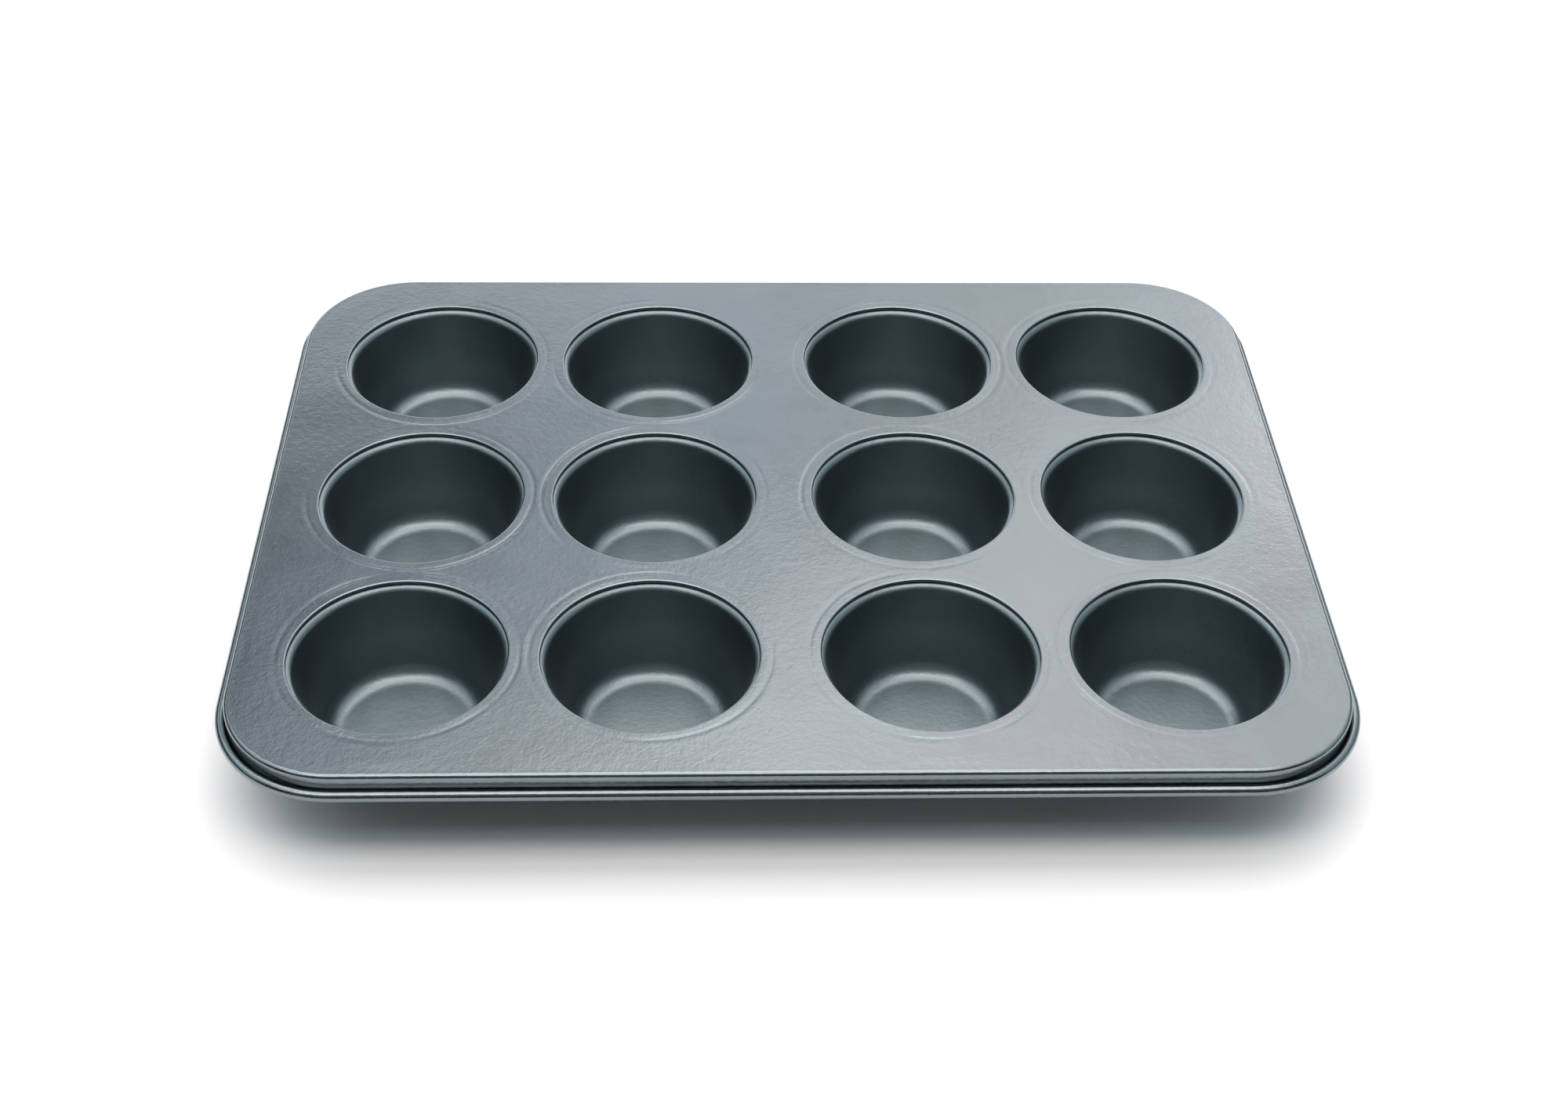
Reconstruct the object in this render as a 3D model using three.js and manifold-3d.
// Twelve-cup muffin tin, four columns by three rows.
//
// One pressed deck sheet carries the skirt, an edge rolled around a steel
// wire, and twelve round holes. The edge of each hole is folded down and back
// outward. Each cup is a separate drawn sheet whose flange hooks over that
// folded edge, so the cup hangs from the deck in a lock seam.
//
// Frame: origin on the resting plane under the middle of the tin, +Z up,
// +X along the long side, +Y to the back. Millimetres. Pieces are drawn with
// z = 0 at the top of the deck and lifted into place by the assembly.

import * as THREE from 'three';
import { mergeVertices } from 'three/addons/utils/BufferGeometryUtils.js';
import Module from 'manifold-3d';

const wasm = await Module();
wasm.setup();

// ---- sheet and overall size -------------------------------------------------
const HEIGHT = 34.4;            // resting plane to the top of the deck
const SHEET = 0.4;              // sheet thickness, deck and cups
const GAP = 0.1;                // clearance between the layers of the seam

const DECK_HALF_X = 177.3;      // middle to the skirt's outer face, along x
const DECK_HALF_Y = 133.0;      // middle to the skirt's outer face, along y
const CORNER_R = 37.5;          // plan radius of the skirt's corners

// ---- deck, skirt and rolled edge --------------------------------------------
const EDGE_R = 2.0;             // outer radius of the bend from deck to skirt
const PLATE_INSET = 4;          // skirt face to the rim of the flat plate
const SKIRT_INSET = 6;          // skirt face to the skirt's inner rim, inside the plate

const BEAD_DROP = 6.7;          // deck top to the middle of the rolled bead
const CURL_IN = 1.45;           // inside radius of the rolled edge
const CURL_START = 180;         // degrees at which the roll leaves the skirt
const CURL_END = 360 + 137;     // degrees at which the roll stops
const WIRE_R = 1.25;            // rim wire
const WIRE_JOINT = 1.0;         // gap between the two cut ends of the wire

// ---- cup positions ----------------------------------------------------------
const INNER_COLUMN_X = 44.95;
const OUTER_COLUMN_X = 125.3;
const ROW_PITCH = 79.8;
const COLUMN_X = [-OUTER_COLUMN_X, -INNER_COLUMN_X, INNER_COLUMN_X, OUTER_COLUMN_X];
const ROWS = [
  { name: 'back', y: ROW_PITCH },
  { name: 'middle', y: 0 },
  { name: 'front', y: -ROW_PITCH },
];

// ---- folded hole edge -------------------------------------------------------
const HOLE_R = 35.0;            // opening in the deck
const HEM_LEG_R = 38.2;         // how far the folded hole edge reaches outward
const HEM_BEND = 0.35;          // size of the bevel at each fold
const HEM_TOP_R = HEM_LEG_R + 0.4;    // rim of the hem's top layer, inside the plate
const PLATE_HOLE_R = HEM_LEG_R - 0.6; // hole in the plate, which the hem laps

// ---- cup --------------------------------------------------------------------
const FLOOR_DROP = HEIGHT - SHEET;    // to the inside floor; the cups rest on the ground
const FLOOR_R = 20.8;           // flat part of the floor
const FLOOR_CORNER_R = 6.2;     // corner between floor and wall
const SHOULDER_R = 36.04;       // where the shoulder reaches the flange
const SHOULDER_CORNER_R = 3.0;  // corner between wall and flange
// Above the flange lie the deck, the cup's hook and the hem's leg.
const FLANGE_DROP = 3 * (SHEET + GAP);
const HOOK_OUT_R = 39.1;
const HOOK_TIP_R = 36.0;

// ---- resolution -------------------------------------------------------------
const ROUND = 24;               // facets around a cup or hole
const CORNER_STEPS = 6;         // facets around a corner of the tin
const EDGE_STEPS = 2;
const CURL_STEPS = 11;
const WIRE_SIDES = 10;
const FLOOR_CORNER_STEPS = 3;
const SHOULDER_STEPS = 2;
const SNAPS_PER_MM = 1e4;       // grid that vertices are rounded to

// ---- solids and meshes ------------------------------------------------------
const rad = (degrees) => (degrees * Math.PI) / 180;

// Coordinates are rounded so that faces meant to share a plane do so exactly.
function weld(geometry) {
  geometry.deleteAttribute('normal');
  geometry.deleteAttribute('uv');
  geometry.clearGroups();
  const coords = geometry.getAttribute('position').array;
  for (let i = 0; i < coords.length; i++) {
    coords[i] = Math.round(coords[i] * SNAPS_PER_MM) / SNAPS_PER_MM;
  }
  return mergeVertices(geometry, 1 / SNAPS_PER_MM);
}

// Flips every triangle of a closed mesh if its faces point inward.
function faceOutward(geometry) {
  const position = geometry.getAttribute('position');
  const index = geometry.index.array;
  const corners = [new THREE.Vector3(), new THREE.Vector3(), new THREE.Vector3()];
  let volume = 0;
  for (let i = 0; i < index.length; i += 3) {
    corners.forEach((corner, k) => corner.fromBufferAttribute(position, index[i + k]));
    volume += corners[0].dot(corners[1].cross(corners[2])) / 6;
  }
  if (volume < 0) {
    for (let i = 0; i < index.length; i += 3) {
      [index[i + 1], index[i + 2]] = [index[i + 2], index[i + 1]];
    }
  }
  return geometry;
}

function toSolid(geometry) {
  const welded = faceOutward(weld(geometry));
  return new wasm.Manifold(new wasm.Mesh({
    numProp: 3,
    vertProperties: new Float32Array(welded.getAttribute('position').array),
    triVerts: new Uint32Array(welded.index.array),
  }));
}

function fromSolid(solid) {
  const mesh = solid.getMesh();
  const geometry = new THREE.BufferGeometry();
  const vertices = new Float32Array(mesh.vertProperties);
  geometry.setAttribute('position', new THREE.BufferAttribute(vertices, 3));
  geometry.setIndex(new THREE.BufferAttribute(new Uint32Array(mesh.triVerts), 1));
  geometry.computeVertexNormals();
  return geometry;
}

// ---- sections and how they are carried --------------------------------------
// Points along an arc, both ends included; angles in degrees.
function arc({ center, radius, from, to, steps }) {
  const points = [];
  for (let i = 0; i <= steps; i++) {
    const angle = rad(from + ((to - from) * i) / steps);
    points.push([
      center[0] + radius * Math.cos(angle),
      center[1] + radius * Math.sin(angle),
    ]);
  }
  return points;
}

// Corners of a regular polygon, as Vector2.
function polygon(centerX, centerY, radius, sides) {
  return Array.from({ length: sides }, (_, i) => {
    const angle = (2 * Math.PI * i) / sides;
    return new THREE.Vector2(
      centerX + radius * Math.cos(angle),
      centerY + radius * Math.sin(angle),
    );
  });
}

// Turns a section of [radius, z] points about the Z axis. A section that
// starts on the axis also ends there; any other is closed back to its start.
function turned(section) {
  const points = section.map(([radius, z]) => new THREE.Vector2(radius, z));
  if (section[0][0] !== 0) points.push(points[0].clone());
  const geometry = new THREE.LatheGeometry(points, ROUND);
  geometry.rotateX(Math.PI / 2);
  return geometry;
}

// Stations around the skirt, anticlockwise from above, starting at the right
// end of the back right corner. Each station is a function that gives the
// [x, y] point lying a distance `out` outside the skirt's outer face.
function rimStations() {
  const stations = [];
  const corners = [[1, 1, 0], [-1, 1, 90], [-1, -1, 180], [1, -1, 270]];
  for (const [signX, signY, start] of corners) {
    for (let i = 0; i <= CORNER_STEPS; i++) {
      const angle = rad(start + (90 * i) / CORNER_STEPS);
      stations.push((out) => [
        signX * (DECK_HALF_X - CORNER_R) + (CORNER_R + out) * Math.cos(angle),
        signY * (DECK_HALF_Y - CORNER_R) + (CORNER_R + out) * Math.sin(angle),
      ]);
    }
  }
  return stations;
}

// Sweeps a closed section of [out, z] points through a list of stations.
// An open sweep gets a flat cap at each end.
function swept(section, stations, closed) {
  const size = section.length;
  const count = stations.length;
  const vertices = stations.flatMap((station) => (
    section.flatMap(([out, z]) => [...station(out), z])
  ));
  const index = [];
  const spans = closed ? count : count - 1;
  for (let j = 0; j < spans; j++) {
    const here = j * size;
    const next = ((j + 1) % count) * size;
    for (let i = 0; i < size; i++) {
      const k = (i + 1) % size;
      index.push(here + i, next + k, next + i, here + i, here + k, next + k);
    }
  }
  if (!closed) {
    const contour = section.map(([out, z]) => new THREE.Vector2(out, z));
    const end = (count - 1) * size;
    for (const [i, j, k] of THREE.ShapeUtils.triangulateShape(contour, [])) {
      index.push(i, k, j);
      index.push(end + i, end + j, end + k);
    }
  }
  const geometry = new THREE.BufferGeometry();
  geometry.setAttribute('position', new THREE.Float32BufferAttribute(vertices, 3));
  geometry.setIndex(index);
  return geometry;
}

// ---- deck: plate, skirt with rolled edge, folded hole edges -----------------
function plateGeometry() {
  const outline = rimStations().map((station) => new THREE.Vector2(...station(-PLATE_INSET)));
  const shape = new THREE.Shape(outline);
  for (const x of COLUMN_X) {
    for (const { y } of ROWS) {
      shape.holes.push(new THREE.Path(polygon(x, y, PLATE_HOLE_R, ROUND)));
    }
  }
  const plate = new THREE.ExtrudeGeometry(shape, { depth: SHEET, bevelEnabled: false, steps: 1 });
  plate.translate(0, 0, -SHEET);
  return plate;
}

// The inside face of the roll carries on from the outer face of the skirt.
function skirtGeometry() {
  const bend = { center: [-EDGE_R, -EDGE_R], steps: EDGE_STEPS };
  const curl = { center: [CURL_IN, -BEAD_DROP], steps: CURL_STEPS };
  const section = [
    [-SKIRT_INSET, 0],
    ...arc({ ...bend, radius: EDGE_R, from: 90, to: 0 }),
    ...arc({ ...curl, radius: CURL_IN, from: CURL_START, to: CURL_END }),
    ...arc({ ...curl, radius: CURL_IN + SHEET, from: CURL_END, to: CURL_START }),
    ...arc({ ...bend, radius: EDGE_R - SHEET, from: 0, to: 90 }),
    [-SKIRT_INSET, -SHEET],
  ];
  return swept(section, rimStations(), true);
}

function hemGeometry() {
  const legLow = -(FLANGE_DROP - GAP);
  const legTop = legLow + SHEET;
  return turned([
    [HEM_TOP_R, -SHEET],
    [HEM_TOP_R, 0],
    [HOLE_R + HEM_BEND, 0],
    [HOLE_R, -HEM_BEND],
    [HOLE_R, legLow + HEM_BEND],
    [HOLE_R + HEM_BEND, legLow],
    [HEM_LEG_R, legLow],
    [HEM_LEG_R, legTop],
    [HOLE_R + SHEET, legTop],
    [HOLE_R + SHEET, -SHEET],
  ]);
}

function deckGeometry() {
  let solid = toSolid(plateGeometry()).add(toSolid(skirtGeometry()));
  // Rounded before it is moved, so that all twelve hems are alike.
  const hem = weld(hemGeometry());
  for (const x of COLUMN_X) {
    for (const { y } of ROWS) {
      solid = solid.add(toSolid(hem.clone().translate(x, y, 0)));
    }
  }
  return fromSolid(solid);
}

// ---- one cup ----------------------------------------------------------------
const FLOOR_CORNER_CENTER = [FLOOR_R, -FLOOR_DROP + FLOOR_CORNER_R];
const SHOULDER_CENTER = [SHOULDER_R, -FLANGE_DROP - SHOULDER_CORNER_R];

// Degrees from floor to wall, found by repeated averaging, at which the
// straight wall is tangent to both the floor's corner and the shoulder.
function wallAngle() {
  let angle = 70;
  for (let i = 0; i < 60; i++) {
    const reach = FLOOR_CORNER_R + SHOULDER_CORNER_R;
    const run = SHOULDER_CENTER[0] - FLOOR_CORNER_CENTER[0] - reach * Math.sin(rad(angle));
    const rise = SHOULDER_CENTER[1] - FLOOR_CORNER_CENTER[1] + reach * Math.cos(rad(angle));
    const slope = (Math.atan2(rise, run) * 180) / Math.PI;
    angle = (angle + slope) / 2;
  }
  return angle;
}

function cupGeometry() {
  const turn = wallAngle();
  const floorCorner = { center: FLOOR_CORNER_CENTER, steps: FLOOR_CORNER_STEPS };
  const shoulder = { center: SHOULDER_CENTER, steps: SHOULDER_STEPS };
  const hookTop = -SHEET - GAP;
  const hookLow = hookTop - SHEET;

  const inside = [
    [0, -FLOOR_DROP],
    ...arc({ ...floorCorner, radius: FLOOR_CORNER_R, from: 270, to: 270 + turn }),
    ...arc({ ...shoulder, radius: SHOULDER_CORNER_R, from: 90 + turn, to: 90 }),
  ];
  const hook = [
    [HOOK_OUT_R - SHEET, -FLANGE_DROP],
    [HOOK_OUT_R - SHEET, hookLow],
    [HOOK_TIP_R, hookLow],
    [HOOK_TIP_R, hookTop],
    [HOOK_OUT_R, hookTop],
    [HOOK_OUT_R, -FLANGE_DROP - SHEET],
  ];
  const outside = [
    ...arc({ ...shoulder, radius: SHOULDER_CORNER_R - SHEET, from: 90, to: 90 + turn }),
    ...arc({ ...floorCorner, radius: FLOOR_CORNER_R + SHEET, from: 270 + turn, to: 270 }),
    [0, -FLOOR_DROP - SHEET],
  ];
  return fromSolid(toSolid(turned([...inside, ...hook, ...outside])));
}

// ---- rim wire ---------------------------------------------------------------
// The two cut ends meet at the middle of the back.
function wireGeometry() {
  const section = polygon(CURL_IN, -BEAD_DROP, WIRE_R, WIRE_SIDES).map(({ x, y }) => [x, y]);
  const rim = rimStations();
  const backRight = rim.slice(0, CORNER_STEPS + 1);
  const otherCorners = rim.slice(CORNER_STEPS + 1);
  const cutEnd = (x) => (out) => [x, DECK_HALF_Y + out];
  const stations = [
    cutEnd(-WIRE_JOINT / 2),
    ...otherCorners,
    ...backRight,
    cutEnd(WIRE_JOINT / 2),
  ];
  return fromSolid(toSolid(swept(section, stations, false)));
}

// ---- materials --------------------------------------------------------------
const metal = (settings) => new THREE.MeshStandardMaterial(settings);
const deckCoating = () => metal({ color: 0x6f7579, roughness: 0.38, metalness: 0.35 });
const cupCoating = () => metal({ color: 0x5b6266, roughness: 0.36, metalness: 0.35 });
const wireSteel = () => metal({ color: 0xa3a6a8, roughness: 0.35, metalness: 1.0 });

// ---- assembly ---------------------------------------------------------------
const group = new THREE.Group();

function put(name, geometry, material, x = 0, y = 0) {
  const mesh = new THREE.Mesh(geometry, material);
  mesh.name = name;
  mesh.position.set(x, y, HEIGHT);
  group.add(mesh);
}

put('deck_plate', deckGeometry(), deckCoating());
put('rim_wire', wireGeometry(), wireSteel());

const cup = cupGeometry();
for (const { name, y } of ROWS) {
  COLUMN_X.forEach((x, i) => {
    put(`cup_${name}_${i + 1}`, cup.clone(), cupCoating(), x, y);
  });
}

export default group;
